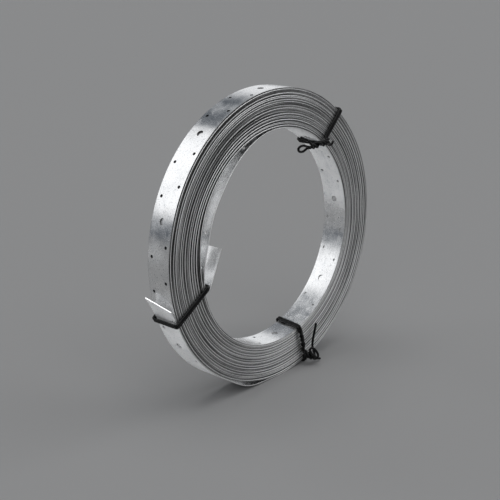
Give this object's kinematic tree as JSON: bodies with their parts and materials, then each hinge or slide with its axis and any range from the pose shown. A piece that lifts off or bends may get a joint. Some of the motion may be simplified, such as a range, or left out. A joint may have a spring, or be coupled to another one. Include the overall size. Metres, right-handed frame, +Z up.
{
  "type": "roll of perforated bracing strap",
  "caption": "Roll of galvanised perforated bracing strap, 30 mm wide and 1 mm thick, wound in 34 turns round an open core, standing on its rim and held by three black wire ties.",
  "frame": {"origin": "on the floor under the middle of the whole width along X, which the loose outer end makes lopsided: the roll's axis is 2.5 mm to its +X side", "axes": "+Z up, the roll's axis along Y, the end with two knots facing -Y"},
  "size_m": [0.3253, 0.0631, 0.3198],
  "materials": {
    "galvanised_steel": "hot-dip galvanised, spangled",
    "coated_wire": "black plastic coating on wire, satin"
  },
  "bodies": {
    "root": {"strap_coil": "galvanised_steel", "tie_lower_left": "coated_wire", "tie_lower_right": "coated_wire", "tie_upper_right": "coated_wire"}
  },
  "joints": []
}
